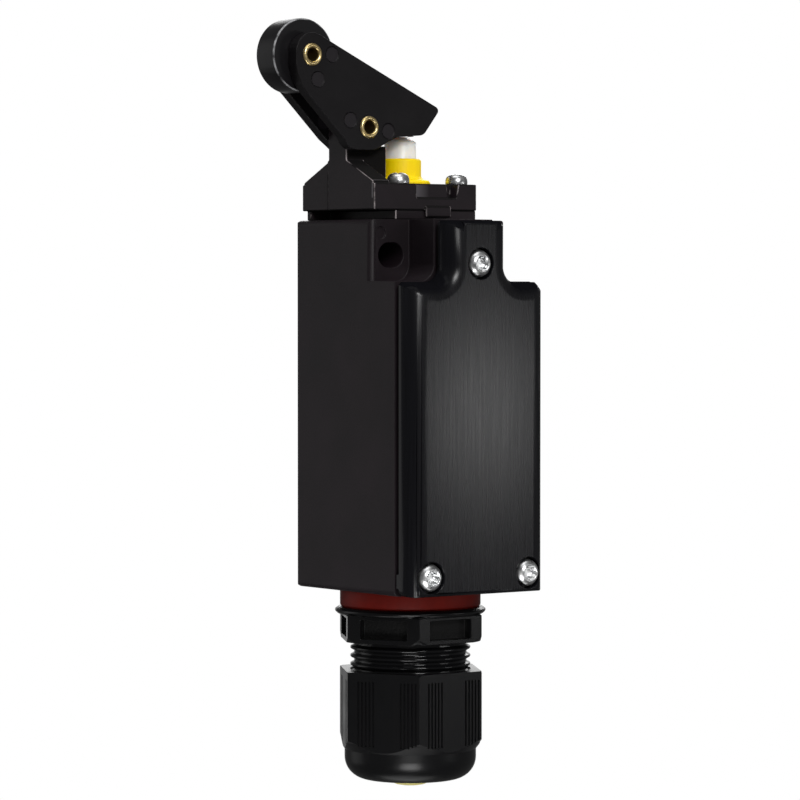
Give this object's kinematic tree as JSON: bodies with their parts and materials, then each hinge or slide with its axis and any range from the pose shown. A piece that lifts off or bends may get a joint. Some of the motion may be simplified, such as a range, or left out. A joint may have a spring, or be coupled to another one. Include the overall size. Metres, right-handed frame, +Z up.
{
  "type": "roller lever limit switch",
  "caption": "Slim plastic limit switch with a roller lever on an offset head that presses a spring plunger, slotted mounting ears, a screwed cover and a cable gland.",
  "frame": {"origin": "on the back face, midway between the two mounting slots", "axes": "+Z up along the body towards the lever, the cover faces -Y, the back face looks along +Y, +X to the right seen from the cover"},
  "size_m": [0.0445, 0.0356, 0.1364],
  "materials": {
    "black_polyamide": "matt, finely eroded moulding",
    "cover_plastic": "satin with fine upright streaks",
    "dark_rubber": "matt",
    "zinc_steel": "bright zinc plate",
    "yellow_plastic": "satin",
    "white_acetal": "smooth",
    "spring_steel": "drawn wire",
    "lever_plastic": "satin moulding",
    "roller_plastic": "satin, smooth tread",
    "brass": "bright turned",
    "contact_plastic": "matt moulding",
    "slider_plastic": "matt moulding",
    "contact_brass": "stamped strip",
    "red_rubber": "matt",
    "gland_nylon": "glossy moulding",
    "plug_plastic": "satin, slightly waxy"
  },
  "bodies": {
    "switch_body": {"housing": "black_polyamide", "cover": "cover_plastic", "cover_gasket": "dark_rubber", "cover_screws": "zinc_steel", "head_base": "black_polyamide", "head_block": "black_polyamide", "head_screws": "zinc_steel", "guide_collar": "yellow_plastic", "plunger_seal": "dark_rubber", "plunger_spring": "spring_steel", "contact_block": "contact_plastic", "closed_contacts": "contact_brass", "open_contacts": "contact_brass", "terminal_clamps": "zinc_steel", "terminal_screws": "zinc_steel", "gland_gasket": "red_rubber", "gland_body": "gland_nylon", "gland_nut": "gland_nylon", "gland_seal": "dark_rubber", "dust_plug": "plug_plastic"},
    "lever_arm": {"lever": "lever_plastic", "roller_rivet": "brass", "pivot_rivet": "brass"},
    "roller_wheel": {"roller": "roller_plastic"},
    "plunger_rod": {"plunger": "white_acetal"},
    "slider_set": {"contact_slider": "slider_plastic", "contact_bridges": "contact_brass", "contact_springs": "spring_steel"}
  },
  "joints": [
    {"name": "lever_pivot", "type": "hinge", "parent": "switch_body", "child": "lever_arm", "pos_m": [-0.0107, -0.01135, 0.0226], "axis": [0, 1, 0], "range_deg": [0, 19], "stiffness_Nm_per_rad": 0.17, "springref_deg": -28.65},
    {"name": "roller_spin", "type": "hinge", "parent": "lever_arm", "child": "roller_wheel", "pos_m": [-0.02295, -0.01135, 0.03495], "axis": [0, 1, 0], "continuous": true},
    {"name": "plunger_slide", "type": "slide", "parent": "switch_body", "child": "plunger_rod", "axis": [0, 0, -1], "range_m": [0, 0.0036], "deforming": ["plunger_spring"]},
    {"name": "slider_slide", "type": "slide", "parent": "switch_body", "child": "slider_set", "axis": [0, 0, -1], "range_m": [0, 0.0036]}
  ],
  "couplings": [
    {"joint": "plunger_slide", "follows": "lever_pivot", "m_per_rad": 0.0107},
    {"joint": "slider_slide", "follows": "lever_pivot", "m_per_rad": 0.0107}
  ]
}
